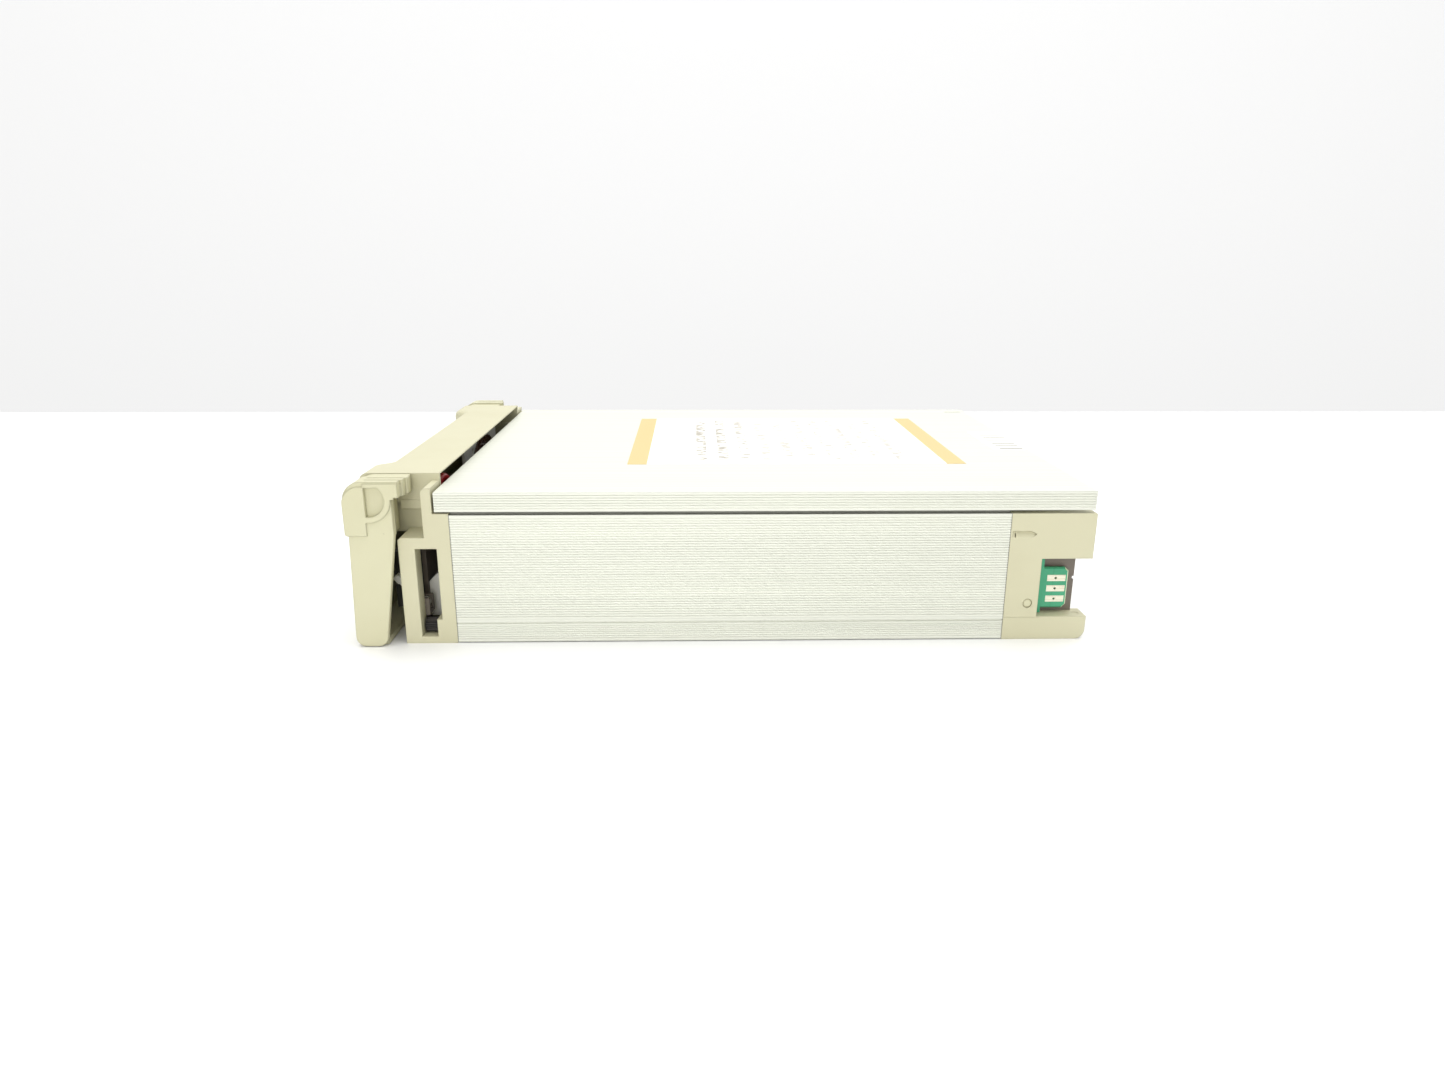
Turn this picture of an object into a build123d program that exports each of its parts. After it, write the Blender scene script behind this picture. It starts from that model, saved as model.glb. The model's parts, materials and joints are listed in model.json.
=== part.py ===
from build123d import *
import os

# Plug-in DIN rail power supply, lying on its left side.
# +X runs from the terminal end (front) to the rail end (rear), +Y from the near
# side to the far side, +Z across the module's width. The origin is the centre of
# the extruded case's resting side. All sizes are in millimetres.

# ---------------------------------------------------------------- driving sizes
case_length = 196.6  # extruded body between the two end frames
case_depth = 182.2  # near side to far side
body_height = 47.4  # resting side to the body's upper edge
cover_top = 55.4  # resting side to the outer face of the cover
cover_edge = 48.6  # lower edge of the cover's turned-down sides
front_overhang = 4.7  # cover beyond the body at the front
rear_overhang = 29.4  # cover beyond the body at the rear
frame_rear_length = 30.3  # rear frame beyond the body
box_length = 18.2  # lower box of the front frame
box_top = 39.3
neck_length = 9.0
neck_top = 47.9
fin_top = 57.0
fin_rear_gap = 5.5  # rear face of the fins ahead of the body
bar_top = 59.6  # raised cross bar of the front frame
bar_base = 49.0
bar_length = 28.3
bar_end_length = 33.6
bar_rear_gap = 5.25
bar_inset = 12.5  # cross bar's end walls in from the case sides
cheek = 6.5  # thickness of the front frame's windowed sides
recess_depth = 14.2  # open recess between lower box and cross bar
wall = 2.2  # general moulded wall
rail_width = 35.0
seat_length = 31.5  # rail seat beyond the body

# ------------------------------------------------------------- derived positions
x_front = -case_length / 2
x_rear = case_length / 2
y_near = -case_depth / 2
y_far = case_depth / 2
hinge_x = x_front - 26.3
hinge_z = 53.9
port_y = y_far - 5.5  # screw ports in the extrusion
port_z_low = 5.2
port_z_high = 42.6
port_radius = 1.45
board_base = 9.4
board_top = 11.0
spacer_places = [(x, y) for x in (-78.0, 4.0, 82.0) for y in (-76.0, 76.0)]
shank_radius = 2.1
foot_wall = x_rear + 26.5  # rear wall of the rear frame
seat_x = x_rear + seat_length

os.makedirs("parts", exist_ok=True)


def block(x_range, y_range, z_range, mode=Mode.ADD):
    """Box between two limits on each axis, in the current part."""
    low = Vector(x_range[0], y_range[0], z_range[0])
    size = Vector(x_range[1], y_range[1], z_range[1]) - low
    with Locations(low + size * 0.5):
        Box(size.X, size.Y, size.Z, mode=mode)


def rod_x(centre, radius, length, mode=Mode.ADD):
    """Round bar along +X from its first end's centre."""
    with Locations(Plane(origin=centre, z_dir=(1, 0, 0))):
        Cylinder(radius, length, align=(Align.CENTER, Align.CENTER, Align.MIN), mode=mode)


def rod_y(centre, radius, length, mode=Mode.ADD):
    """Round bar along +Y from its first end's centre."""
    with Locations(Plane(origin=centre, z_dir=(0, 1, 0))):
        Cylinder(radius, length, align=(Align.CENTER, Align.CENTER, Align.MIN), mode=mode)


def rod_z(centre, radius, length, mode=Mode.ADD):
    """Round bar along +Z from its first end's centre."""
    with Locations(centre):
        Cylinder(radius, length, align=(Align.CENTER, Align.CENTER, Align.MIN), mode=mode)


def side_plane(y):
    """Plane seen from the near side: local x is +X, local y is +Z, facing -Y."""
    return Plane(origin=(0, y, 0), x_dir=(1, 0, 0), z_dir=(0, -1, 0))


# ------------------------------------------------------------------- case body
side_wall = 3.4
floor_wall = 2.0
tongue_wall = 1.2
tongue_top = 52.6
groove_pitch = 0.93
groove_size = 0.34
band_line = 7.5  # wide groove between the lower band and the main ribbing

with BuildPart() as case_body:
    with BuildSketch(Plane.YZ.offset(x_front)) as case_profile:
        with Locations((0, floor_wall / 2)):
            Rectangle(case_depth, floor_wall)
        for side in (-1, 1):
            with Locations((side * (case_depth - side_wall) / 2, body_height / 2)):
                Rectangle(side_wall, body_height)
            tongue_y = side * (y_far - side_wall + tongue_wall / 2)
            with Locations((tongue_y, (body_height + tongue_top) / 2)):
                Rectangle(tongue_wall, tongue_top - body_height)
            with Locations((tongue_y + side * 0.6, tongue_top - 0.4)):
                Rectangle(tongue_wall, 0.8)
            with Locations((side * port_y, port_z_low), (side * port_y, port_z_high)):
                Circle(3.6)
        fillet(case_profile.vertices().group_by(Axis.Y)[0], 0.7)
        with Locations((0, 27.9)):
            with GridLocations(case_depth, groove_pitch, 2, 40):
                Rectangle(groove_size, groove_size, rotation=45, mode=Mode.SUBTRACT)
        with Locations((0, 3.9)):
            with GridLocations(case_depth, 0.8, 2, 7):
                Rectangle(groove_size, groove_size, rotation=45, mode=Mode.SUBTRACT)
        with Locations((0, band_line)):
            with GridLocations(case_depth, 1, 2, 1):
                Rectangle(0.9, 0.55, mode=Mode.SUBTRACT)
        for port_z in (port_z_low, port_z_high):
            with Locations((0, port_z)):
                with GridLocations(2 * port_y, 1, 2, 1):
                    Circle(port_radius, mode=Mode.SUBTRACT)
    extrude(amount=case_length)
    # holes for the shanks of the board spacers
    for x, y in spacer_places:
        rod_z((x, y, -1), shank_radius, floor_wall + 2, Mode.SUBTRACT)
case_body.part.label = "case_body"
export_step(case_body.part, "parts/case_body.step")

# ------------------------------------------------------------------ case cover
cover_wall = 2.0
flange_wall = 1.4

with BuildPart() as case_cover:
    with BuildSketch(Plane.YZ.offset(x_front - front_overhang)):
        with Locations((0, cover_top - cover_wall / 2)):
            Rectangle(case_depth, cover_wall)
        for side in (-1, 1):
            with Locations((side * (y_far - flange_wall / 2), (cover_edge + cover_top) / 2)):
                Rectangle(flange_wall, cover_top - cover_edge)
            with Locations((side * (y_far - flange_wall), cover_edge + 0.5)):
                Rectangle(1.2, 1.0)
        with Locations((0, 52.0)):
            with GridLocations(case_depth, groove_pitch, 2, 6):
                Rectangle(groove_size, groove_size, rotation=45, mode=Mode.SUBTRACT)
    extrude(amount=front_overhang + case_length + rear_overhang)
    # slot near the far rear corner
    block((x_rear + 18.8, x_rear + 27.2), (82.4, 83.8), (cover_top - 3, cover_top + 1), Mode.SUBTRACT)
case_cover.part.label = "case_cover"
export_step(case_cover.part, "parts/case_cover.step")

# ----------------------------------------------------------------- front frame
box_front = x_front - box_length
neck_front = x_front - neck_length
bar_front = x_front - bar_length
bar_end_front = x_front - bar_end_length
bar_rear = x_front - bar_rear_gap
bar_wall = 1.3
bar_near = y_near + bar_inset
bar_bulge = 13.5  # length of the fuller end of the cross bar
bar_blend = 9.0  # length of the S-curve down to the slimmer middle
window_front = x_front - 12.5
window_rear = x_front - 4.9
window_base = 2.5
window_top = 35.3
control_z = 18.0  # height of trimmer and lamps on the front wall
trimmer_y = 57.0
lamp_places = (65.0, 71.0)
lever_y = y_near + 9.8

with BuildPart() as front_frame:
    block((box_front, x_front), (y_near, y_far), (0, box_top))
    block((box_front, bar_rear), (y_near + recess_depth, y_far - recess_depth), (0, bar_base + wall))
    recess_wall = (y_near + recess_depth, y_far - recess_depth)
    block((x_front - 23.6, box_front), recess_wall, (box_top - 1.5, bar_base + wall))
    with BuildSketch(Plane.XY.offset(bar_base)):
        with BuildLine():
            bulge_end = bar_near + bar_bulge
            middle_start = bulge_end + bar_blend
            Line((bar_rear, bar_near), (bar_end_front, bar_near))
            Line((bar_end_front, bar_near), (bar_end_front, bulge_end))
            Spline(
                (bar_end_front, bulge_end),
                (bar_front, middle_start),
                tangents=[(0, 1), (0, 1)],
            )
            Line((bar_front, middle_start), (bar_front, -middle_start))
            Spline(
                (bar_front, -middle_start),
                (bar_end_front, -bulge_end),
                tangents=[(0, 1), (0, 1)],
            )
            Line((bar_end_front, -bulge_end), (bar_end_front, -bar_near))
            Line((bar_end_front, -bar_near), (bar_rear, -bar_near))
            Line((bar_rear, -bar_near), (bar_rear, bar_near))
        make_face()
    extrude(amount=bar_top - bar_base)
    front_edges = front_frame.edges().group_by(Axis.Z)[-1]
    fillet([edge for edge in front_edges if edge.center().X < bar_front + 0.1], 3.0)
    low_edges = front_frame.edges().filter_by(Axis.Y).filter_by_position(
        Axis.X, bar_end_front - 0.1, bar_end_front + 0.1
    )
    fillet(low_edges.group_by(Axis.Z)[0], 1.5)

    for side in (-1, 1):
        outer = side * y_far
        near_edge = sorted((outer, outer - side * recess_depth))
        block((neck_front, x_front), near_edge, (box_top, neck_top))
        fin_edge = sorted((outer, outer - side * bar_inset))
        block((neck_front, x_front - fin_rear_gap), fin_edge, (neck_top, fin_top))
        ledge_edge = sorted((outer - side * 12.2, outer - side * recess_depth))
        block((box_front - 1.4, neck_front), ledge_edge, (46.6, bar_base + 0.9))
    fin_edges = front_frame.edges().filter_by(Axis.Y).filter_by_position(Axis.Z, fin_top - 0.1, fin_top + 0.1)
    chamfer(fin_edges.group_by(Axis.X)[0], 1.2)
    box_edges = front_frame.edges().filter_by_position(Axis.Z, box_top - 0.1, box_top + 0.1)
    chamfer(box_edges.filter_by(Axis.Y).group_by(Axis.X)[0], 0.8)

    # inside of the lower box, the centre and the cross bar
    block((box_front + wall, x_front), (y_near + cheek, y_far - cheek), (wall, box_top - wall), Mode.SUBTRACT)
    centre_inset = recess_depth + wall
    block(
        (box_front + wall, x_front),
        (y_near + centre_inset, y_far - centre_inset),
        (wall, bar_base + 3),
        Mode.SUBTRACT,
    )
    block(
        (bar_front + wall, bar_rear),
        (bar_near + bar_wall, -bar_near - bar_wall),
        (bar_base + wall, bar_top - 1.6),
        Mode.SUBTRACT,
    )
    for side in (-1, 1):
        pocket = sorted((side * (bar_near + bar_wall), side * (bar_near + bar_bulge - 3)))
        pocket_x = (bar_end_front + wall, bar_front + wall + 1)
        block(pocket_x, pocket, (bar_base + wall, bar_top - 2.6), Mode.SUBTRACT)
    block(
        (x_front - 23.6 + wall, box_front + wall),
        (y_near + centre_inset, y_far - centre_inset),
        (box_top - 1.5 + wall, bar_base + 3),
        Mode.SUBTRACT,
    )
    # thin rear lip of the bar, so that the slot above the cover stays open
    with BuildSketch(side_plane(bar_near + bar_wall)):
        with BuildLine():
            Polyline(
                (bar_rear - 6.0, bar_top - 1.7),
                (bar_rear, bar_top - 0.5),
                (bar_rear, bar_top - 1.7),
                close=True,
            )
        make_face()
    extrude(amount=2 * (bar_near + bar_wall), mode=Mode.SUBTRACT)
    # windows through both cheeks, with a boss for the lower screw
    for side in (-1, 1):
        outer = side * y_far
        cheek_edge = sorted((outer + side, outer - side * (cheek + 1)))
        block((window_front, window_rear), cheek_edge, (window_base, window_top), Mode.SUBTRACT)
        boss_edge = sorted((outer, outer - side * (cheek + 2)))
        block((x_front - 6.8, x_front), boss_edge, (window_base - 0.5, 9.0))
        for port_z in (port_z_low, port_z_high):
            rod_x((x_front - 12, side * port_y, port_z), port_radius + 0.25, 13, Mode.SUBTRACT)
        rod_x((neck_front - 1, side * port_y, port_z_high), 2.9, 4.4, Mode.SUBTRACT)
    # openings in the front wall behind the terminal cover
    block((box_front - 1, box_front + wall + 1), (-73.0, 50.0), (6.5, 29.5), Mode.SUBTRACT)
    rod_x((box_front - 1, trimmer_y, control_z), 3.2, wall + 2, Mode.SUBTRACT)
    for lamp_y in lamp_places:
        rod_x((box_front - 1, lamp_y, control_z), 1.6, wall + 2, Mode.SUBTRACT)
    block((box_front - 1, box_front + wall + 1), (lever_y - 2.2, lever_y + 2.2), (9.5, 24.5), Mode.SUBTRACT)
    # seats for the hinge pins
    for side in (-1, 1):
        start = min(side * (y_far - bar_inset + 1), side * (y_far - bar_inset - bar_wall - 1))
        rod_y((hinge_x, start, hinge_z), 1.5, bar_wall + 2, Mode.SUBTRACT)
front_frame.part.label = "front_frame"
export_step(front_frame.part, "parts/front_frame.step")

# ------------------------------------------------------------------ hinge pins
with BuildPart() as hinge_pins:
    for side in (-1, 1):
        inner_face = y_far - bar_inset - bar_wall
        pin_ends = sorted((side * (inner_face - 1.2), side * (y_far + 0.6)))
        rod_y((hinge_x, pin_ends[0], hinge_z), 1.5, pin_ends[1] - pin_ends[0])
        head_start = min(side * inner_face, side * (inner_face - 1.2))
        rod_y((hinge_x, head_start, hinge_z), 2.6, 1.2)
hinge_pins.part.label = "hinge_pins"
export_step(hinge_pins.part, "parts/hinge_pins.step")

# -------------------------------------------------------------- terminal cover
side_proud = 3.7  # outer face of the cover's ears beyond the case side
plate_proud = 3.2
plate_inner = 1.1
ear_top = 60.0
ear_front = x_front - 34.4
ear_rear = x_front - 20.6
hook_rear = x_front - 13.9
hook_base = 54.4
plate_rear = x_front - 18.1
step_z = 41.0  # lower edge of the hinge block
panel_top = 46.2
panel_wall = 2.0
cover_base = 0.3
cover_corner = 3.4


def span(x_range, z_range, corner=0, mode=Mode.ADD):
    """Rectangle between limits in a side sketch, with optional rounded corners."""
    size = (x_range[1] - x_range[0], z_range[1] - z_range[0])
    with Locations((x_range[0] + size[0] / 2, z_range[0] + size[1] / 2)):
        if corner:
            RectangleRounded(*size, corner, mode=mode)
        else:
            Rectangle(*size, mode=mode)


with BuildPart() as terminal_cover:
    # tapered side plate outside the case side
    with BuildSketch(side_plane(y_near - plate_inner)) as plate_outline:
        with BuildLine():
            Polyline(
                (x_front - 33.0, ear_top - 4),
                (x_front - 34.9, cover_base),
                (x_front - 24.1, cover_base),
                (plate_rear, step_z),
                (plate_rear, ear_top - 4),
                close=True,
            )
        make_face()
        fillet(plate_outline.vertices().group_by(Axis.Y)[0], cover_corner)
    extrude(amount=plate_proud - plate_inner)
    # front panel and bottom lip, one side of the middle
    with BuildSketch(side_plane(y_near - plate_inner)) as panel_outline:
        with BuildLine():
            Polyline(
                (x_front - 33.0, panel_top),
                (x_front - 34.9, cover_base),
                (x_front - 24.1, cover_base),
                (x_front - 24.1, cover_base + panel_wall),
                (x_front - 34.9 + panel_wall, cover_base + panel_wall),
                (x_front - 33.0 + panel_wall, panel_top),
                close=True,
            )
        make_face()
        fillet(panel_outline.vertices().sort_by_distance((x_front - 34.9, cover_base))[0], cover_corner)
    extrude(amount=y_near - plate_inner)
    # thicker hinge block at the end of the panel
    block_end = y_near + bar_inset + bar_bulge
    block((ear_front, x_front - 31.2), (y_near - plate_inner, block_end), (step_z, panel_top))
    # outer layer of the ear: hinge block, ring and hook
    with BuildSketch(side_plane(y_near)) as ear_outline:
        span((ear_front, plate_rear), (step_z, ear_top))
        span((x_front - 24, hook_rear), (hook_base, ear_top))
        top_corners = ear_outline.vertices().group_by(Axis.Y)[-1].sort_by(Axis.X)
        fillet(top_corners[0], 6.5)
        fillet(top_corners[-1], 1.2)
    extrude(amount=plate_proud)
    with BuildSketch(side_plane(y_near - plate_proud)) as block_pad:
        span((ear_front - 0.2, x_front - 27.1), (step_z, 58.3))
        fillet(block_pad.vertices().group_by(Axis.X)[0].sort_by(Axis.Y)[-1], 6.0)
        fillet(block_pad.vertices().group_by(Axis.Y)[0].sort_by(Axis.X)[0], 1.0)
    extrude(amount=side_proud - plate_proud)
    ring_centre = (x_front - 26.2, hinge_z - 0.2)
    with BuildSketch(side_plane(y_near - plate_proud)):
        with Locations(ring_centre):
            Circle(8.0)
        span((x_front - 27.0, x_front - 17.0), (hinge_z, 58.3))
        span((x_front - 23.0, hook_rear + 0.2), (hook_base + 0.2, ear_top - 0.6), 0.8)
        span((ear_front, x_front - 27.1), (step_z, ear_top), mode=Mode.SUBTRACT)
        span((ear_front, hook_rear), (ear_top - 0.6, ear_top + 3), mode=Mode.SUBTRACT)
    extrude(amount=side_proud - plate_proud)
    # round-ended finger recess
    with BuildSketch(side_plane(y_near - side_proud)):
        with Locations(ring_centre):
            Circle(6.0)
        span((x_front - 26.9, x_front - 22.0), (hinge_z, 58.0))
        span((ear_front, x_front - 26.9), (step_z, ear_top), mode=Mode.SUBTRACT)
        span((x_front - 27.0, x_front - 19.0), (58.0, ear_top + 1), mode=Mode.SUBTRACT)
    extrude(amount=-1.6, mode=Mode.SUBTRACT)
    # inner layers of the ear, between the case side and the cross bar
    with BuildSketch(side_plane(y_near)) as inner_outline:
        span((ear_front, ear_rear), (step_z, ear_top))
        span((x_front - 24, hook_rear), (hook_base, ear_top))
        top_corners = inner_outline.vertices().group_by(Axis.Y)[-1].sort_by(Axis.X)
        fillet(top_corners[0], 6.5)
        fillet(top_corners[-1], 1.2)
    extrude(amount=-6.4)
    with BuildSketch(side_plane(y_near + 6.4)) as arm_outline:
        span((ear_front + 0.6, ear_rear), (step_z, bar_top - 0.2))
        span((x_front - 24, x_front - 15.2), (53.2, bar_top - 0.2))
        top_corners = arm_outline.vertices().group_by(Axis.Y)[-1].sort_by(Axis.X)
        fillet(top_corners[0], 6.0)
        fillet(top_corners[-1], 1.0)
    extrude(amount=-(bar_inset - 0.5 - 6.4))
    with BuildSketch(side_plane(y_near + 6.4)):
        span((x_front - 25.0, ear_rear), (39.4, step_z + 1))
    extrude(amount=-(bar_inset - 0.5 - 6.4))
    # grooves that split the hook into three layers, and the hinge bore
    for groove_y in (y_near - 0.4, y_near + 2.9, y_near + 6.4):
        groove = (groove_y, groove_y + 0.7)
        block((x_front - 27.5, hook_rear + 1), groove, (ear_top - 1.3, ear_top + 1), Mode.SUBTRACT)
        block((hook_rear - 1.3, hook_rear + 1), groove, (hook_base - 1, ear_top + 1), Mode.SUBTRACT)
    # the outer layers of the hook end a little earlier
    outer_layer = (y_near - side_proud - 1, y_near - 0.4)
    middle_layer = (y_near - 0.4, y_near + 2.9)
    for layer, setback in ((outer_layer, 1.6), (middle_layer, 0.8)):
        block((hook_rear - setback, hook_rear + 1), layer, (hook_base - 1, ear_top + 1), Mode.SUBTRACT)
    rod_y((hinge_x, y_near - 0.9, hinge_z), 1.55, bar_inset + 1, Mode.SUBTRACT)
    mirror(about=Plane.XZ)
    # recessed marking field and finger grip in the middle of the panel
    with BuildSketch(Plane.YZ.offset(x_front - 34.6)):
        with Locations((0, 24)):
            RectangleRounded(120, 24, 2)
    extrude(amount=1.1, mode=Mode.SUBTRACT)
    block((x_front - 38, x_front - 33.8), (-14, 14), (0, 4.2), Mode.SUBTRACT)
terminal_cover.part.label = "terminal_cover"
export_step(terminal_cover.part, "parts/terminal_cover.step")

# ------------------------------------------------------------------ rear frame
frame_rear = x_rear + frame_rear_length
cheek_depth = 8.0
notch_front = x_rear + 12.1
notch_base = 8.7
notch_top = 30.65
latch_z = body_height / 2
latch_width = 14.0

# arrow-shaped snap pocket with a ramped floor, deepest at its top
with BuildPart(mode=Mode.PRIVATE) as snap_pocket:
    with BuildSketch(Plane.YZ.offset(x_rear + 0.7)):
        with BuildLine():
            Polyline((y_near - 0.4, 37.6), (y_near + 1.1, 40.9), (y_near - 0.4, 40.9), close=True)
        make_face()
    extrude(amount=9.0)
    with BuildSketch(side_plane(y_near + 2)):
        with BuildLine():
            Polyline(
                (x_rear + 0.7, 41.0),
                (x_rear + 7.2, 41.0),
                (x_rear + 9.4, 39.9),
                (x_rear + 6.8, 37.5),
                (x_rear + 0.7, 37.5),
                close=True,
            )
        make_face()
    extrude(amount=4, mode=Mode.INTERSECT)

with BuildPart() as rear_frame:
    block((x_rear, foot_wall), (y_near, y_far), (0, body_height))
    for side in (-1, 1):
        cheek_span = sorted((side * y_far, side * (y_far - cheek_depth)))
        block((foot_wall - 1, frame_rear), cheek_span, (0, body_height))
    block((foot_wall - 1, frame_rear - 0.6), (y_near + 20, y_far - 20), (0, wall))
    block((foot_wall - 1, frame_rear - 0.6), (y_near + 20, y_far - 20), (body_height - wall, body_height))
    rear_edges = rear_frame.edges().filter_by(Axis.Y)
    rear_edges = rear_edges.filter_by_position(Axis.X, frame_rear - 0.1, frame_rear + 0.1)
    fillet(rear_edges.filter_by_position(Axis.Z, -0.1, 0.1), 3.6)
    fillet(rear_edges.filter_by_position(Axis.Z, body_height - 0.1, body_height + 0.1), 0.6)
    # hollow inside: full depth ahead of the notch, narrower behind it
    block((x_rear, notch_front + 0.1), (y_near + 2.6, y_far - 2.6), (wall, body_height - wall), Mode.SUBTRACT)
    block((x_rear, foot_wall - wall), (y_near + 10, y_far - 10), (wall, body_height - wall), Mode.SUBTRACT)
    # connector notch in the near cheek and the matching one in the far cheek
    for side in (-1, 1):
        notch_span = sorted((side * (y_far + 1), side * (y_far - cheek_depth - 0.2)))
        block((notch_front, frame_rear + 1), notch_span, (notch_base, notch_top), Mode.SUBTRACT)
    # ramped snap pocket and its slit, plug hole and parting line, on both sides
    add(snap_pocket.part, mode=Mode.SUBTRACT)
    add(snap_pocket.part.mirror(Plane.XZ), mode=Mode.SUBTRACT)
    for side in (-1, 1):
        slit_span = sorted((side * (y_far + 1), side * (y_far - 4)))
        block((x_rear + 1.6, x_rear + 1.95), slit_span, (38.6, 40.0), Mode.SUBTRACT)
        plug_start = min(side * (y_far + 1), side * (y_far - 4))
        rod_y((x_rear + 8.4, plug_start, 13.8), 1.7, 5, Mode.SUBTRACT)
        line_span = sorted((side * (y_far + 1), side * (y_far - 0.08)))
        block((x_rear - 1, notch_front + 1), line_span, (8.3, 8.55), Mode.SUBTRACT)
        # ejector mark on the lower prong
        rod_z((x_rear + 27.6, side * (y_far - 3.6), notch_base - 0.25), 1.25, 1, Mode.SUBTRACT)
    # screw bosses that reach the ports of the extrusion
    for side in (-1, 1):
        for port_z, boss_radius in ((port_z_low, 3.4), (port_z_high, 4.0)):
            rod_x((x_rear, side * port_y, port_z), boss_radius, 26.0)
            rod_x((x_rear - 1, side * port_y, port_z), port_radius + 0.25, 8, Mode.SUBTRACT)
            rod_x((x_rear + 3, side * port_y, port_z), 2.9, 40, Mode.SUBTRACT)
    # passage for the rail latch through the far cheek
    block(
        (foot_wall, frame_rear + 1),
        (y_far - cheek_depth - 1, y_far + 1),
        (latch_z - latch_width / 2 - 0.8, latch_z + latch_width / 2 + 0.8),
        Mode.SUBTRACT,
    )
    # pilot holes for the screws of the rail foot
    with Locations(*[(foot_wall, y, z) for y in (-27.0, 33.0) for z in (9.5, 37.9)]):
        with Locations(Plane.YZ):
            Cylinder(1.3, 10, mode=Mode.SUBTRACT)
rear_frame.part.label = "rear_frame"
export_step(rear_frame.part, "parts/rear_frame.step")

# ------------------------------------------------------------------- rail foot
plate_base = foot_wall + 3.4
half_rail = rail_width / 2
foot_low = 6.0
foot_high = 41.4
lip_gap = 1.3  # room for the rail's lip under the hook
window_start = half_rail + 0.1  # the latch's post rests just off this edge
window_end = 27.0
peg_start = 10.5

with BuildPart() as rail_foot:
    block((foot_wall, seat_x), (-32.0, 38.0), (foot_low, foot_high))
    # channel for the sliding latch, and the window for its hook
    block(
        (foot_wall, plate_base),
        (-12.0, 39.0),
        (latch_z - latch_width / 2 - 0.1, latch_z + latch_width / 2 + 0.1),
        Mode.SUBTRACT,
    )
    block(
        (foot_wall, seat_x + 1),
        (window_start, window_end),
        (latch_z - latch_width / 2 - 0.1, latch_z + latch_width / 2 + 0.1),
        Mode.SUBTRACT,
    )
    # peg that the latch spring pushes against
    block((foot_wall, plate_base), (peg_start, peg_start + 2.0), (latch_z - 2.0, latch_z + 2.0))
    # fixed hook over the near lip of the rail
    block((seat_x, seat_x + 3.6), (-half_rail - 5.0, -half_rail - 0.2), (foot_low, foot_high))
    block((seat_x + lip_gap, seat_x + 3.6), (-half_rail - 0.3, -half_rail + 2.2), (foot_low, foot_high))
    hook_edges = rail_foot.edges().filter_by(Axis.Z).filter_by_position(Axis.X, seat_x + 3.5, seat_x + 3.7)
    chamfer(hook_edges.group_by(Axis.Y)[-1], 1.2)
    # stop behind the far lip of the rail
    for z_span in ((foot_low, latch_z - latch_width / 2 - 0.6), (latch_z + latch_width / 2 + 0.6, foot_high)):
        block((seat_x, seat_x + 1.0), (half_rail + 0.4, half_rail + 3.4), z_span)
    with Locations(*[(foot_wall, y, z) for y in (-27.0, 33.0) for z in (9.5, 37.9)]):
        with Locations(Plane.YZ):
            Cylinder(1.6, 20, mode=Mode.SUBTRACT)
    with Locations(*[(seat_x - 1.8, y, z) for y in (-27.0, 33.0) for z in (9.5, 37.9)]):
        with Locations(Plane.YZ):
            Cylinder(3.0, 10, align=(Align.CENTER, Align.CENTER, Align.MIN), mode=Mode.SUBTRACT)
rail_foot.part.label = "rail_foot"
export_step(rail_foot.part, "parts/rail_foot.step")

with BuildPart() as foot_screws:
    for y in (-27.0, 33.0):
        for z in (9.5, 37.9):
            rod_x((foot_wall - 5.0, y, z), 1.3, seat_x - foot_wall + 3.2)
            rod_x((seat_x - 1.8, y, z), 2.8, 1.6)
    with Locations(*[(seat_x - 0.2, y, z) for y in (-27.0, 33.0) for z in (9.5, 37.9)]):
        Box(1.6, 4.6, 0.7, mode=Mode.SUBTRACT)
foot_screws.part.label = "foot_screws"
export_step(foot_screws.part, "parts/foot_screws.step")

# --------------------------------------------------- sliding latch and spring
latch_thickness = 3.2
latch_face = foot_wall + 0.1
latch_end = y_far + 5.0
slot_start = -4.0
slot_end = 14.0

with BuildPart() as rail_latch:
    latch_z_span = (latch_z - latch_width / 2, latch_z + latch_width / 2)
    block((latch_face, latch_face + latch_thickness), (-8.0, latch_end), latch_z_span)
    end_edges = rail_latch.edges().filter_by(Axis.X).group_by(Axis.Y)[-1]
    fillet(end_edges, 3.0)
    # slot for the spring and the peg
    slot_z_span = (latch_z - 2.2, latch_z + 2.2)
    block((latch_face - 1, latch_face + 5), (slot_start, slot_end), slot_z_span, Mode.SUBTRACT)
    # post and sloped nose that hold the far lip of the rail
    block((latch_face, seat_x + 3.8), (half_rail + 0.2, half_rail + 4.6), latch_z_span)
    block((seat_x + lip_gap, seat_x + 3.8), (half_rail - 2.2, half_rail + 0.3), latch_z_span)
    nose_edges = rail_latch.edges().filter_by(Axis.Z).filter_by_position(Axis.X, seat_x + 3.7, seat_x + 3.9)
    chamfer(nose_edges.group_by(Axis.Y)[0], 1.8)
    # pull slot at the free end
    with BuildSketch(Plane.YZ.offset(latch_face - 1)):
        with Locations((latch_end - 5.0, latch_z)):
            SlotOverall(7.0, 3.0, rotation=90)
    extrude(amount=6, mode=Mode.SUBTRACT)
rail_latch.part.label = "rail_latch"
export_step(rail_latch.part, "parts/rail_latch.step")

spring_radius = 1.25
spring_wire = 0.2
spring_turns = 8
spring_x = latch_face + latch_thickness / 2
spring_start = slot_start + spring_wire + 0.05
spring_length = peg_start - 0.05 - spring_wire - spring_start

with BuildPart() as latch_spring:
    with BuildLine() as spring_path:
        Helix(
            pitch=spring_length / spring_turns,
            height=spring_length,
            radius=spring_radius,
            center=(spring_x, spring_start, latch_z),
            direction=(0, 1, 0),
        )
    with BuildSketch(Plane(origin=spring_path.line @ 0, z_dir=spring_path.line % 0)):
        Circle(spring_wire)
    sweep()
latch_spring.part.label = "latch_spring"
export_step(latch_spring.part, "parts/latch_spring.step")

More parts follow.
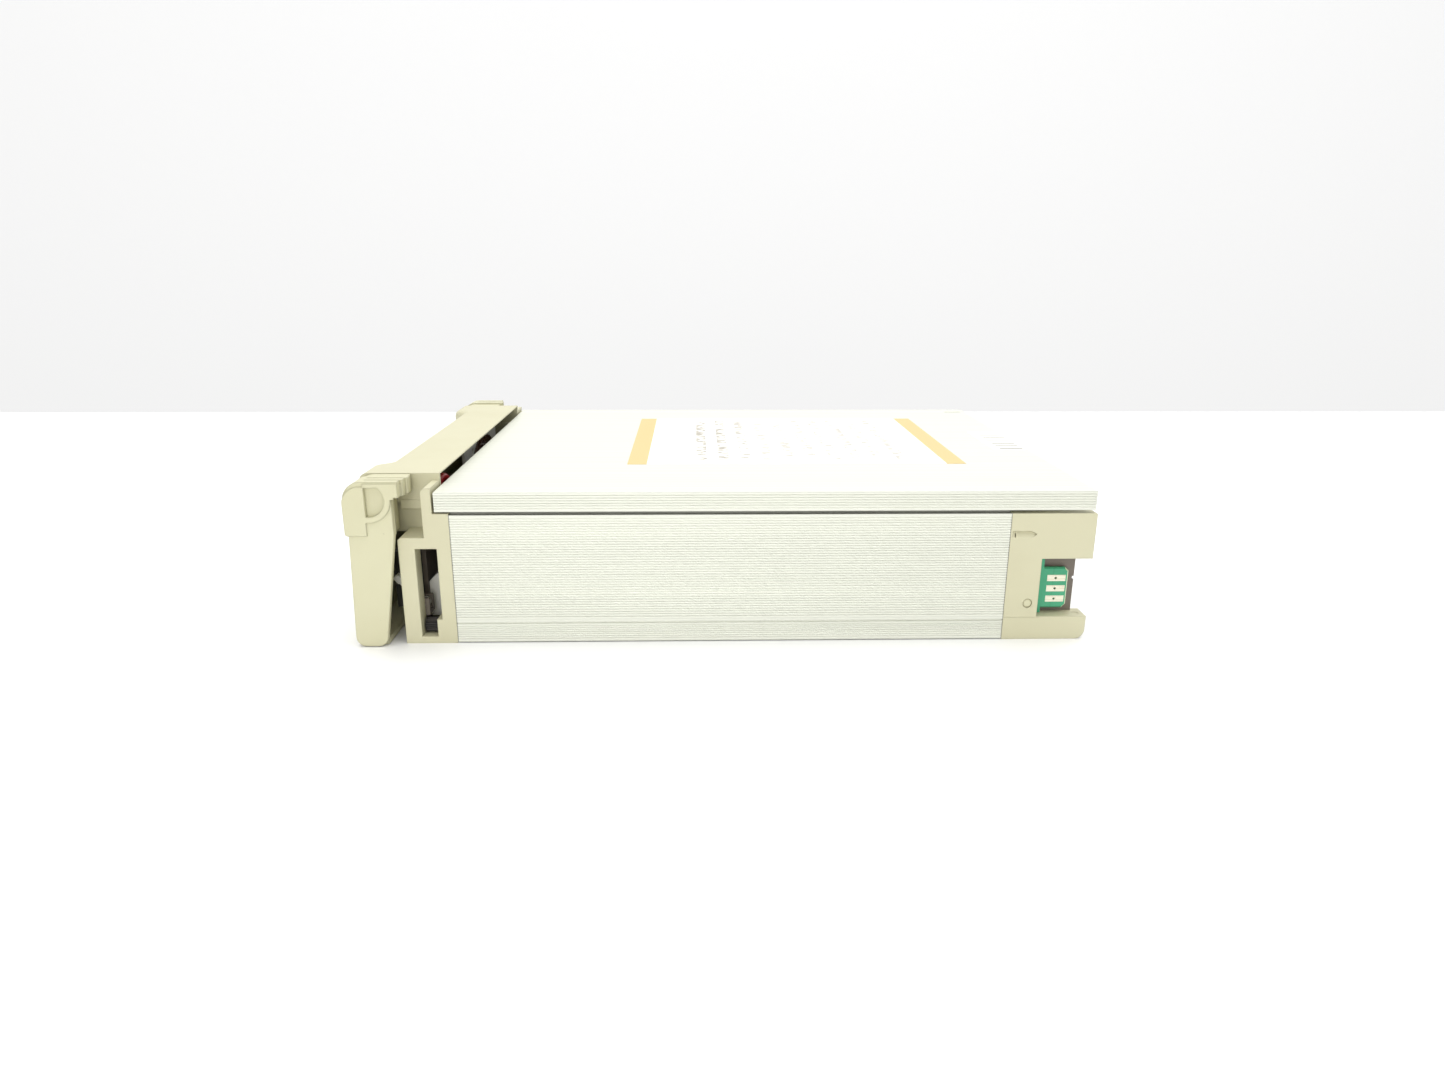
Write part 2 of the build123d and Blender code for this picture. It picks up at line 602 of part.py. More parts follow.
# ------------------------------------------- connector guard, plugs and screws
with BuildPart() as rear_guard:
    with BuildSketch(side_plane(y_near + 6.6)):
        span((notch_front - 3.0, x_rear + 26.9), (notch_base, notch_top))
        with Locations((x_rear + 26.9, 21.3)):
            RegularPolygon(0.9, 4, rotation=45, mode=Mode.SUBTRACT)
    extrude(amount=-1.4)
rear_guard.part.label = "rear_guard"
export_step(rear_guard.part, "parts/rear_guard.step")

with BuildPart() as frame_plugs:
    for side in (-1, 1):
        plug_face = side * (y_far - 0.15)
        rod_y((x_rear + 8.4, min(plug_face, plug_face - side * 2.2), 13.8), 1.7, 2.2)
    outer_edges = frame_plugs.edges().filter_by(GeomType.CIRCLE).group_by(Axis.Y)
    chamfer(outer_edges[0] + outer_edges[-1], 0.4)
frame_plugs.part.label = "frame_plugs"
export_step(frame_plugs.part, "parts/frame_plugs.step")

knurl_count = 24
knurled_seat = x_front - 6.8
with BuildPart() as front_screws:
    for side in (-1, 1):
        rod_x((knurled_seat - 5.2, side * port_y, port_z_low), 2.7, 5.2)
        rod_x((knurled_seat - 0.1, side * port_y, port_z_low), port_radius, 15.8)
        rod_x((knurled_seat - 5.3, side * port_y, port_z_low), 1.3, 2.8, Mode.SUBTRACT)
        with BuildSketch(Plane.YZ.offset(knurled_seat - 5.3)):
            with Locations((side * port_y, port_z_low)):
                with PolarLocations(2.7, knurl_count):
                    Rectangle(0.3, 0.3, rotation=45)
        extrude(amount=5.0, mode=Mode.SUBTRACT)
        # the upper screw is sunk into the neck
        rod_x((neck_front + 0.6, side * port_y, port_z_high), 2.7, 2.8)
        rod_x((neck_front + 3.3, side * port_y, port_z_high), port_radius, 14.0)
        rod_x((neck_front + 0.5, side * port_y, port_z_high), 1.3, 1.8, Mode.SUBTRACT)
front_screws.part.label = "front_screws"
export_step(front_screws.part, "parts/front_screws.step")

with BuildPart() as rear_screws:
    for side in (-1, 1):
        for port_z in (port_z_low, port_z_high):
            centre = (x_rear - 9.0, side * port_y, port_z)
            rod_x(centre, port_radius, 12.1)
            rod_x((x_rear + 3.0, side * port_y, port_z), 2.8, 2.2)
    head_faces = [(x_rear + 5.0, side * port_y, z) for side in (-1, 1) for z in (port_z_low, port_z_high)]
    with Locations(*head_faces):
        Box(1.4, 4.4, 0.7, mode=Mode.SUBTRACT)
        Box(1.4, 0.7, 4.4, mode=Mode.SUBTRACT)
rear_screws.part.label = "rear_screws"
export_step(rear_screws.part, "parts/rear_screws.step")

# ----------------------------------------------------- boards and their fixings
board_near = -83.0
board_far = 83.0
board_front = -88.0
board_rear = 92.0
bus_y = y_near + 4.0
bus_thickness = 1.6
tongue_base = 10.6
tongue_height = 15.45
tongue_end = x_rear + 23.9
contact_pitch = 3.96
contact_z = 18.1
pad_heights = [contact_z + step * contact_pitch for step in (-1, 0, 1)]
pad_hole_x = tongue_end - 4.6

with BuildPart() as main_board:
    block((board_front, board_rear), (board_near, board_far), (board_base, board_top))
    for x, y in spacer_places:
        rod_z((x, y, board_base - 1), 1.6, 4, Mode.SUBTRACT)
main_board.part.label = "main_board"
export_step(main_board.part, "parts/main_board.step")

with BuildPart() as board_spacers:
    for x, y in spacer_places:
        with BuildSketch(Plane.XY.offset(floor_wall)):
            with Locations((x, y)):
                RegularPolygon(3.2, 6)
        extrude(amount=board_base - floor_wall)
        rod_z((x, y, 0.15), shank_radius, floor_wall)
        rod_z((x, y, 4.0), 1.25, board_base, Mode.SUBTRACT)
board_spacers.part.label = "board_spacers"
export_step(board_spacers.part, "parts/board_spacers.step")

with BuildPart() as board_screws:
    for x, y in spacer_places:
        rod_z((x, y, 4.6), 1.25, board_top - 4.6)
        rod_z((x, y, board_top), 2.75, 1.9)
    head_edges = board_screws.edges().filter_by(GeomType.CIRCLE).group_by(Axis.Z)[-1]
    fillet(head_edges, 0.7)
    with Locations(*[(x, y, board_top + 1.5) for x, y in spacer_places]):
        Box(3.4, 0.7, 1.2, mode=Mode.SUBTRACT)
        Box(0.7, 3.4, 1.2, mode=Mode.SUBTRACT)
board_screws.part.label = "board_screws"
export_step(board_screws.part, "parts/board_screws.step")

with BuildPart() as insulating_sheet:
    block((board_front - 4, board_rear + 2), (-72.0, 72.0), (floor_wall, floor_wall + 0.4))
insulating_sheet.part.label = "insulating_sheet"
export_step(insulating_sheet.part, "parts/insulating_sheet.step")

with BuildPart() as bus_board:
    with BuildSketch(side_plane(bus_y)):
        span((40.0, x_rear + 2.0), (11.5, 36.5))
        span((x_rear + 1.0, notch_front), (9.4, 37.4))
        span((x_rear + 1.0, x_rear + 14.7), (notch_base + 0.1, notch_top - 0.1))
    extrude(amount=-bus_thickness)
    with BuildSketch(side_plane(bus_y)) as bus_tongue:
        span((x_rear + 13.0, tongue_end), (tongue_base, tongue_base + tongue_height))
        chamfer(bus_tongue.vertices().group_by(Axis.X)[-1], 1.3)
    extrude(amount=-bus_thickness)
    for z in pad_heights:
        rod_y((pad_hole_x, bus_y - 1, z), 0.45, 4, Mode.SUBTRACT)
    near_edges = bus_board.edges().group_by(Axis.Y)[0].filter_by(GeomType.LINE)
    chamfer(near_edges.filter_by_position(Axis.X, x_rear + 14.8, tongue_end + 0.1), 0.5)
bus_board.part.label = "bus_board"
export_step(bus_board.part, "parts/bus_board.step")

with BuildPart() as bus_contacts:
    for z in pad_heights:
        block((tongue_end - 7.7, tongue_end - 1.0), (bus_y - 0.09, bus_y), (z - 1.17, z + 1.17))
        rod_y((pad_hole_x, bus_y - 1, z), 0.45, 2, Mode.SUBTRACT)
bus_contacts.part.label = "bus_contacts"
export_step(bus_contacts.part, "parts/bus_contacts.step")

# ------------------------------------------------------- power parts on the board
core_x = 8.0
core_y = -22.0
core_base = board_top + 1.0
core_height = 38.0

with BuildPart() as transformer_core:
    block((core_x - 28, core_x + 28), (core_y - 11, core_y + 11), (core_base, core_base + core_height))
    for side in (-1, 1):
        gap = sorted((core_x + side * 9.5, core_x + side * 19.5))
        block(gap, (core_y - 12, core_y + 12), (core_base + 6, core_base + core_height - 6), Mode.SUBTRACT)
transformer_core.part.label = "transformer_core"
export_step(transformer_core.part, "parts/transformer_core.step")

with BuildPart() as transformer_coil:
    with BuildSketch(Plane.XY.offset(core_base + 6.4)):
        with Locations((core_x, core_y)):
            RectangleRounded(37.4, 42, 8)
            Rectangle(19.6, 22.6, mode=Mode.SUBTRACT)
    extrude(amount=core_height - 12.8)
    for side in (-1, 1):
        row = sorted((core_y + side * 12.5, core_y + side * 20.5))
        block((core_x - 17, core_x + 17), row, (board_top, core_base + 7))
transformer_coil.part.label = "transformer_coil"
export_step(transformer_coil.part, "parts/transformer_coil.step")

choke_y = 22.6
choke_z = 28.6
choke_front = x_front - 12.3
core_outer = 21.7
core_inner = 12.5
core_length = 12.0

with BuildPart() as choke_end_plate:
    with BuildSketch(Plane.YZ.offset(choke_front - 1.2)):
        with Locations((choke_y - 0.4, 30.0)):
            RectangleRounded(65.4, 50.4, 3)
        with Locations((choke_y, choke_z)):
            Circle(9.0, mode=Mode.SUBTRACT)
        with Locations((choke_y - 17.6, 50.2), (choke_y + 17.6, 50.2)):
            Circle(1.7, mode=Mode.SUBTRACT)
    extrude(amount=1.1)
choke_end_plate.part.label = "choke_end_plate"
export_step(choke_end_plate.part, "parts/choke_end_plate.step")

with BuildPart() as choke_core:
    with BuildSketch(Plane.YZ.offset(choke_front + 1.2)):
        with Locations((choke_y, choke_z)):
            Circle(core_outer)
            Circle(core_inner, mode=Mode.SUBTRACT)
    extrude(amount=core_length)
choke_core.part.label = "choke_core"
export_step(choke_core.part, "parts/choke_core.step")

winding_turns = 22
turn_wall = 1.1
core_middle = (core_outer + core_inner) / 2
core_section = core_outer - core_inner

with BuildPart() as choke_winding:
    for turn in range(winding_turns):
        tangent = Vector(0, 0, 1).rotate(Axis.X, turn * 360 / winding_turns)
        origin = (choke_front + 1.2 + core_length / 2, choke_y, choke_z)
        with BuildSketch(Plane(origin=origin, x_dir=(1, 0, 0), z_dir=tangent)):
            with Locations((0, core_middle)):
                RectangleRounded(core_length + 2 * turn_wall, core_section + 2 * turn_wall, 1.0)
                Rectangle(core_length + 0.2, core_section + 0.2, mode=Mode.SUBTRACT)
        extrude(amount=0.9, both=True)
    # binding tape around the outside joins the turns
    with BuildSketch(Plane.YZ.offset(choke_front + 5.6)):
        with Locations((choke_y, choke_z)):
            Circle(core_outer + 0.9)
            Circle(core_outer + 0.2, mode=Mode.SUBTRACT)
    extrude(amount=3.2)
    # rim of the winding's bobbin, against the end plate
    with BuildSketch(Plane.YZ.offset(choke_front + 0.05)):
        with Locations((choke_y, choke_z)):
            Circle(core_outer + 4.2)
            Circle(core_outer + 0.7, mode=Mode.SUBTRACT)
    extrude(amount=1.9)
choke_winding.part.label = "choke_winding"
export_step(choke_winding.part, "parts/choke_winding.step")


def can(x, y, radius, height):
    """Upright capacitor can with a rolled lower groove and a rounded top."""
    rod_z((x, y, board_top), radius, height)
    with Locations((x, y, board_top + 3.2)):
        Torus(radius + 0.25, 0.8, mode=Mode.SUBTRACT)


with BuildPart() as bulk_capacitors:
    for y in (-58.0, -30.0, -2.0):
        can(-64.0, y, 12.5, 37.0)
    fillet(bulk_capacitors.edges().filter_by(GeomType.CIRCLE).group_by(Axis.Z)[-1], 1.0)
bulk_capacitors.part.label = "bulk_capacitors"
export_step(bulk_capacitors.part, "parts/bulk_capacitors.step")

with BuildPart() as output_capacitors:
    for x in (56.0, 76.0):
        for y in (-30.0, -10.0, 10.0):
            can(x, y, 8.0, 30.0)
    fillet(output_capacitors.edges().filter_by(GeomType.CIRCLE).group_by(Axis.Z)[-1], 0.8)
output_capacitors.part.label = "output_capacitors"
export_step(output_capacitors.part, "parts/output_capacitors.step")

with BuildPart() as line_capacitor:
    block((-84.0, -58.0), (30.0, 41.0), (board_top, board_top + 19.0))
    fillet(line_capacitor.edges().filter_by(Axis.Z), 1.0)
line_capacitor.part.label = "line_capacitor"
export_step(line_capacitor.part, "parts/line_capacitor.step")

with BuildPart() as filter_chokes:
    for y in (52.0, 68.0):
        with BuildSketch(side_plane(y + 4.5)):
            with Locations((-68.0, board_top + 11.4)):
                Circle(11.0)
                Circle(4.5, mode=Mode.SUBTRACT)
        extrude(amount=9.0)
        block((-76.0, -60.0), (y - 5.5, y + 5.5), (board_top, board_top + 1.6))
filter_chokes.part.label = "filter_chokes"
export_step(filter_chokes.part, "parts/filter_chokes.step")

with BuildPart() as bridge_rectifier:
    block((-38.0, -32.0), (30.0, 58.0), (board_top + 3.0, board_top + 23.0))
    for y in (33.5, 40.5, 47.5, 54.5):
        rod_z((-35.0, y, board_top), 0.6, 4.0)
    rod_x((-39.0, 44.0, board_top + 18.0), 1.8, 8.0, Mode.SUBTRACT)
bridge_rectifier.part.label = "bridge_rectifier"
export_step(bridge_rectifier.part, "parts/bridge_rectifier.step")

# power transistors clamped to a bar on the far wall of the case
bar_face = 83.4
transistor_places = (-45.0, -15.0, 20.0, 50.0)

with BuildPart() as heatsink_bar:
    block((-70.0, 70.0), (bar_face, y_far - side_wall), (board_top + 1.0, 37.5))
    for x in transistor_places:
        rod_y((x, bar_face - 1, 31.0), 1.25, 4.2, Mode.SUBTRACT)
heatsink_bar.part.label = "heatsink_bar"
export_step(heatsink_bar.part, "parts/heatsink_bar.step")

with BuildPart() as power_transistors:
    for x in transistor_places:
        block((x - 7.8, x + 7.8), (bar_face - 4.8, bar_face), (board_top + 5.0, board_top + 25.0))
        for leg in (-5.4, 0.0, 5.4):
            leg_span = (x + leg - 0.6, x + leg + 0.6)
            block(leg_span, (bar_face - 3.0, bar_face - 2.4), (board_top, board_top + 6.0))
        rod_y((x, bar_face - 6, 31.0), 1.7, 8, Mode.SUBTRACT)
power_transistors.part.label = "power_transistors"
export_step(power_transistors.part, "parts/power_transistors.step")

with BuildPart() as transistor_screws:
    for x in transistor_places:
        rod_y((x, bar_face - 6.8, 31.0), 2.75, 2.0)
        rod_y((x, bar_face - 5.0, 31.0), 1.25, 8.0)
    with Locations(*[(x, bar_face - 6.8, 31.0) for x in transistor_places]):
        Box(0.7, 1.4, 3.4, mode=Mode.SUBTRACT)
        Box(3.4, 1.4, 0.7, mode=Mode.SUBTRACT)
transistor_screws.part.label = "transistor_screws"
export_step(transistor_screws.part, "parts/transistor_screws.step")

with BuildPart() as varistor:
    with BuildSketch(side_plane(22.0)):
        with Locations((-72.0, board_top + 9.0)):
            Circle(7.5)
    extrude(amount=5.0)
    fillet(varistor.edges(), 1.2)
    for x in (-75.7, -68.3):
        rod_z((x, 19.5, board_top), 0.45, 5.0)
varistor.part.label = "varistor"
export_step(varistor.part, "parts/varistor.step")

fuse_y = 62.0
fuse_z = board_top + 5.4
with BuildPart() as fuse:
    rod_x((-40.0, fuse_y, fuse_z), 2.4, 20.0)
    for x in (-40.2, -25.2):
        rod_x((x, fuse_y, fuse_z), 2.6, 5.4)
fuse.part.label = "fuse"
export_step(fuse.part, "parts/fuse.step")

with BuildPart() as fuse_clips:
    for x in (-39.6, -24.6):
        block((x, x + 4.2), (fuse_y - 3.6, fuse_y + 3.6), (board_top, board_top + 0.8))
        for side in (-1, 1):
            leaf = sorted((fuse_y + side * 2.65, fuse_y + side * 3.15))
            block((x, x + 4.2), leaf, (board_top, fuse_z + 2.8))
fuse_clips.part.label = "fuse_clips"
export_step(fuse_clips.part, "parts/fuse_clips.step")

# ------------------------------------------------------------- front controls
panel_board_rear = x_front - 13.6
panel_board_front = panel_board_rear - 1.6

with BuildPart() as front_board:
    block((panel_board_front, panel_board_rear), (-74.4, 74.4), (4.0, 46.0))
front_board.part.label = "front_board"
export_step(front_board.part, "parts/front_board.step")

pole_pitch = 10.16
pole_count = 12
terminal_centre = -11.5
terminal_half = pole_pitch * pole_count / 2 + 0.4
terminal_rear = panel_board_front
terminal_face = x_front - 26.0
screw_row_z = 22.5
entry_row_z = 11.5

with BuildPart() as terminal_block:
    block_ends = (terminal_centre - terminal_half, terminal_centre + terminal_half)
    block((terminal_face, terminal_rear), block_ends, (7.2, 28.8))
    with BuildSketch(Plane.YZ.offset(terminal_face)):
        with Locations((terminal_centre, screw_row_z)):
            with GridLocations(pole_pitch, 1, pole_count, 1):
                Circle(3.6)
        with Locations((terminal_centre, entry_row_z)):
            with GridLocations(pole_pitch, 1, pole_count, 1):
                RectangleRounded(7.4, 6.0, 1.2)
    extrude(amount=5.0, mode=Mode.SUBTRACT)
    block((terminal_face - 1, terminal_face + 2.0), (-80, 60), (15.8, 17.6), Mode.SUBTRACT)
terminal_block.part.label = "terminal_block"
export_step(terminal_block.part, "parts/terminal_block.step")

with BuildPart() as terminal_screws:
    first_pole = terminal_centre - pole_pitch * (pole_count - 1) / 2
    pole_places = [first_pole + pole_pitch * pole for pole in range(pole_count)]
    for y in pole_places:
        rod_x((terminal_face + 2.6, y, screw_row_z), 3.2, 2.4)
    with Locations(*[(terminal_face + 2.8, y, screw_row_z) for y in pole_places]):
        Box(1.6, 0.9, 6.0, mode=Mode.SUBTRACT)
terminal_screws.part.label = "terminal_screws"
export_step(terminal_screws.part, "parts/terminal_screws.step")

trimmer_face = x_front - 18.0
with BuildPart() as trimmer_body:
    rod_x((trimmer_face, trimmer_y, control_z), 3.05, panel_board_front - trimmer_face)
    rod_x((trimmer_face - 1, trimmer_y, control_z), 2.25, 2.6, Mode.SUBTRACT)
trimmer_body.part.label = "trimmer_body"
export_step(trimmer_body.part, "parts/trimmer_body.step")

with BuildPart() as trimmer_rotor:
    rod_x((trimmer_face - 0.9, trimmer_y, control_z), 2.2, 2.4)
    with Locations((trimmer_face - 0.8, trimmer_y, control_z)):
        Box(1.2, 0.7, 3.4, mode=Mode.SUBTRACT)
    with Locations((trimmer_face - 0.8, trimmer_y + 1.45, control_z)):
        Box(0.6, 0.5, 0.5, mode=Mode.SUBTRACT)
trimmer_rotor.part.label = "trimmer_rotor"
export_step(trimmer_rotor.part, "parts/trimmer_rotor.step")

with BuildPart() as status_lamps:
    for lamp_y in lamp_places:
        rod_x((trimmer_face - 0.4, lamp_y, control_z), 1.5, panel_board_front - trimmer_face + 0.4)
        with Locations((trimmer_face - 0.4, lamp_y, control_z)):
            Sphere(1.5)
status_lamps.part.label = "status_lamps"
export_step(status_lamps.part, "parts/status_lamps.step")

with BuildPart() as relay:
    with BuildSketch(side_plane(y_near + 17.8)) as relay_outline:
        span((panel_board_rear + 0.1, x_front - 3.0), (4.0, 20.4))
        chamfer(relay_outline.vertices().group_by(Axis.Y)[-1].sort_by(Axis.X)[0], 3.0)
    extrude(amount=-13.0)
    fillet(relay.edges().filter_by(Axis.Y), 0.5)
relay.part.label = "relay"
export_step(relay.part, "parts/relay.step")

# --------------------------------------------------- small lever near the cheek
lever_pivot_x = x_front - 13.4
lever_pivot_z = 12.0
lever_tilt = 43.0
lever_reach = 14.2
lever_across = Vector(1, 0, 0).rotate(Axis.Y, -lever_tilt)
lever_plane = Plane(origin=(lever_pivot_x, lever_y, lever_pivot_z), x_dir=lever_across, z_dir=(0, -1, 0))

with BuildPart() as release_lever:
    with BuildSketch(lever_plane):
        Circle(1.9)
        with Locations((0, lever_reach / 2)):
            Rectangle(1.5, lever_reach)
        with Locations((0.1, lever_reach - 1.6)):
            RectangleRounded(2.3, 3.2, 0.6)
    extrude(amount=1.5, both=True)
    rod_y((lever_pivot_x, lever_y - 2.7, lever_pivot_z), 0.9, 5.4)
release_lever.part.label = "release_lever"
export_step(release_lever.part, "parts/release_lever.step")

with BuildPart() as lever_bracket:
    block((x_front - 16.0, x_front - 11.0), (lever_y - 3.1, lever_y + 3.1), (8.2, 14.6))
    block((x_front - 16.5, x_front - 10.0), (lever_y - 1.7, lever_y + 1.7), (9.6, 15.0), Mode.SUBTRACT)
    rod_y((lever_pivot_x, lever_y - 4, lever_pivot_z), 0.95, 8.0, Mode.SUBTRACT)
lever_bracket.part.label = "lever_bracket"
export_step(lever_bracket.part, "parts/lever_bracket.step")


# ----------------------------------------------------------------------- leads
def lead(points, radius):
    """Insulated lead along a smooth curve drawn by its control points."""
    with BuildLine() as path:
        Bezier(*points)
    with BuildSketch(Plane(origin=path.line @ 0, z_dir=path.line % 0)) as profile:
        Circle(radius)
    sweep(profile.sketch, path=path.line)


lead_end_x = x_front + 13.0
with BuildPart() as red_lead:
    lead(
        [
            (panel_board_rear + 1.65, -64.0, 36.0),
            (x_front - 10.5, -66.0, 60.0),
            (x_front - 9.5, -50.0, 66.0),
            (x_front - 9.0, -46.0, 40.0),
            (x_front - 4.0, -46.0, 18.0),
            (lead_end_x, -46.0, 32.0),
            (lead_end_x, -46.0, board_top + 0.05),
        ],
        1.6,
    )
red_lead.part.label = "red_lead"
export_step(red_lead.part, "parts/red_lead.step")

with BuildPart() as supply_leads:
    for y in (-68.0, -64.0):
        lead(
            [
                (panel_board_rear + 0.1, y, 30.0),
                (x_front - 4.0, y, 30.0),
                (lead_end_x, y + 3.0, 28.0),
                (lead_end_x, y + 3.0, board_top + 0.05),
            ],
            1.2,
        )
supply_leads.part.label = "supply_leads"
export_step(supply_leads.part, "parts/supply_leads.step")

# ---------------------------------------------------------------------- labels
label_thickness = 0.12
with BuildPart() as rating_label:
    block((x_front + 58.8, x_front + 192.0), (-45.3, 62.0), (cover_top, cover_top + label_thickness))
rating_label.part.label = "rating_label"
export_step(rating_label.part, "parts/rating_label.step")

with BuildPart() as barcode_label:
    block((x_rear + 14.6, x_rear + 28.8), (-18.0, 24.0), (cover_top, cover_top + label_thickness))
barcode_label.part.label = "barcode_label"
export_step(barcode_label.part, "parts/barcode_label.step")
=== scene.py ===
import json
import math

import bpy
from mathutils import Matrix, Vector


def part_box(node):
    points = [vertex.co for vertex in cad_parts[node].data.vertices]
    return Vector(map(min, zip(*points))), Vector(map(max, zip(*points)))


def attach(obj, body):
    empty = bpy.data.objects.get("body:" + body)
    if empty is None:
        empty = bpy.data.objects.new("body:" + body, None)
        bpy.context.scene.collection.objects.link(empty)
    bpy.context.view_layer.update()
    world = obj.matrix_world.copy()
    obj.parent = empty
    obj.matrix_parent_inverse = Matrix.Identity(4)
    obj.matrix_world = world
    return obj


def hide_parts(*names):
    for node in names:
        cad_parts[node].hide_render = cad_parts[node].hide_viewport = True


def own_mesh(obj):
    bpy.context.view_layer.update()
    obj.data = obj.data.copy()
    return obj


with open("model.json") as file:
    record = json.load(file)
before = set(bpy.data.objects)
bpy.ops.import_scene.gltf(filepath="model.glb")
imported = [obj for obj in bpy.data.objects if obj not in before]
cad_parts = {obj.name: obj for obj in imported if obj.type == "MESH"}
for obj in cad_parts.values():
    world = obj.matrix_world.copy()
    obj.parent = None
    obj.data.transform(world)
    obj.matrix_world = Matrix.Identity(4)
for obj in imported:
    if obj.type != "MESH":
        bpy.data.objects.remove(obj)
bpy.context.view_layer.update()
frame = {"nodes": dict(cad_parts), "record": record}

MM = 0.001
GROOVE_PITCH = 0.93 * MM
COVERED_FROM = 47.35 * MM  # height where the cover starts to hide the body's side
nodes = frame["nodes"]


# ------------------------------------------------------------ node-tree helpers
class Shader:
    """A Principled material that is built from short chains of nodes."""

    def __init__(self, name, color, roughness, metallic=0.0):
        self.material = bpy.data.materials.new(name)
        self.material.use_nodes = True
        self.tree = self.material.node_tree
        self.principled = self.tree.nodes["Principled BSDF"]
        self.principled.inputs["Metallic"].default_value = metallic
        self.principled.inputs["Roughness"].default_value = roughness
        self.principled.inputs["Base Color"].default_value = (*color, 1)
        self.color = self.rgb(color)
        self.coords = self.add("ShaderNodeTexCoord").outputs["Object"]

    def add(self, kind, **settings):
        node = self.tree.nodes.new(kind)
        for key, value in settings.items():
            setattr(node, key, value)
        return node

    def link(self, source, target):
        self.tree.links.new(source, target)

    def rgb(self, color):
        node = self.add("ShaderNodeRGB")
        node.outputs[0].default_value = (*color, 1)
        return node.outputs[0]

    def scaled(self, scale, offset=(0, 0, 0)):
        """Object coordinates in metres, times a scale on each axis."""
        node = self.add("ShaderNodeMapping")
        node.inputs["Scale"].default_value = scale
        node.inputs["Location"].default_value = offset
        self.link(self.coords, node.inputs["Vector"])
        return node.outputs["Vector"]

    def noise(self, scale, detail=3.0, roughness=0.55, offset=(0, 0, 0)):
        """Noise with a size of 1 / scale metres on each axis."""
        node = self.add("ShaderNodeTexNoise")
        node.inputs["Scale"].default_value = 1.0
        node.inputs["Detail"].default_value = detail
        node.inputs["Roughness"].default_value = roughness
        self.link(self.scaled(scale, offset), node.inputs["Vector"])
        return node.outputs["Fac"]

    def value(self, operation, *terms):
        node = self.add("ShaderNodeMath", operation=operation)
        for index, term in enumerate(terms):
            if isinstance(term, (int, float)):
                node.inputs[index].default_value = term
            else:
                self.link(term, node.inputs[index])
        return node.outputs[0]

    def ramp(self, factor, low, high):
        """0 below low, 1 above high, smooth between."""
        node = self.add("ShaderNodeMapRange", interpolation_type="SMOOTHSTEP")
        node.inputs["From Min"].default_value = low
        node.inputs["From Max"].default_value = high
        self.link(factor, node.inputs["Value"])
        return node.outputs["Result"]

    def blend(self, factor, color, amount=1.0):
        """Mixes another colour into the base colour where factor is high."""
        node = self.add("ShaderNodeMix", data_type="RGBA")
        strength = self.value("MULTIPLY", factor, amount)
        self.link(strength, node.inputs["Factor"])
        self.link(self.color, node.inputs[6])
        if isinstance(color, tuple):
            node.inputs[7].default_value = (*color, 1)
        else:
            self.link(color, node.inputs[7])
        self.color = node.outputs[2]

    def axis(self, name):
        node = self.add("ShaderNodeSeparateXYZ")
        self.link(self.coords, node.inputs[0])
        return node.outputs[name]

    def facing(self, axis):
        """High where the surface faces along an axis, in either direction."""
        geometry = self.add("ShaderNodeNewGeometry")
        split = self.add("ShaderNodeSeparateXYZ")
        self.link(geometry.outputs["True Normal"], split.inputs[0])
        return self.ramp(self.value("MULTIPLY", split.outputs[axis], split.outputs[axis]), 0.15, 0.3)

    def edges(self, radius):
        """High near sharp edges, from the difference to a rounded normal."""
        bevel = self.add("ShaderNodeBevel", samples=4)
        bevel.inputs["Radius"].default_value = radius
        geometry = self.add("ShaderNodeNewGeometry")
        dot = self.add("ShaderNodeVectorMath", operation="DOT_PRODUCT")
        self.link(bevel.outputs[0], dot.inputs[0])
        self.link(geometry.outputs["Normal"], dot.inputs[1])
        return self.ramp(self.value("SUBTRACT", 1.0, dot.outputs["Value"]), 0.02, 0.35)

    def crevices(self, distance):
        """High where another surface is near."""
        occlusion = self.add("ShaderNodeAmbientOcclusion", samples=4)
        occlusion.inputs["Distance"].default_value = distance
        return self.ramp(self.value("SUBTRACT", 1.0, occlusion.outputs["AO"]), 0.25, 0.9)

    def rough(self, factor, low, high):
        node = self.add("ShaderNodeMapRange")
        node.inputs["To Min"].default_value = low
        node.inputs["To Max"].default_value = high
        self.link(factor, node.inputs["Value"])
        self.link(node.outputs["Result"], self.principled.inputs["Roughness"])

    def finish(self, height=None, distance=0.0001, strength=0.3, round_edges=0.0):
        """Connects colour, bump and rounded edges, and returns the material."""
        self.link(self.color, self.principled.inputs["Base Color"])
        normal = None
        if round_edges:
            bevel = self.add("ShaderNodeBevel", samples=4)
            bevel.inputs["Radius"].default_value = round_edges
            normal = bevel.outputs[0]
        if height is not None:
            bump = self.add("ShaderNodeBump")
            bump.inputs["Strength"].default_value = strength
            bump.inputs["Distance"].default_value = distance
            self.link(height, bump.inputs["Height"])
            if normal is not None:
                self.link(normal, bump.inputs["Normal"])
            normal = bump.outputs[0]
        if normal is not None:
            self.link(normal, self.principled.inputs["Normal"])
        return self.material


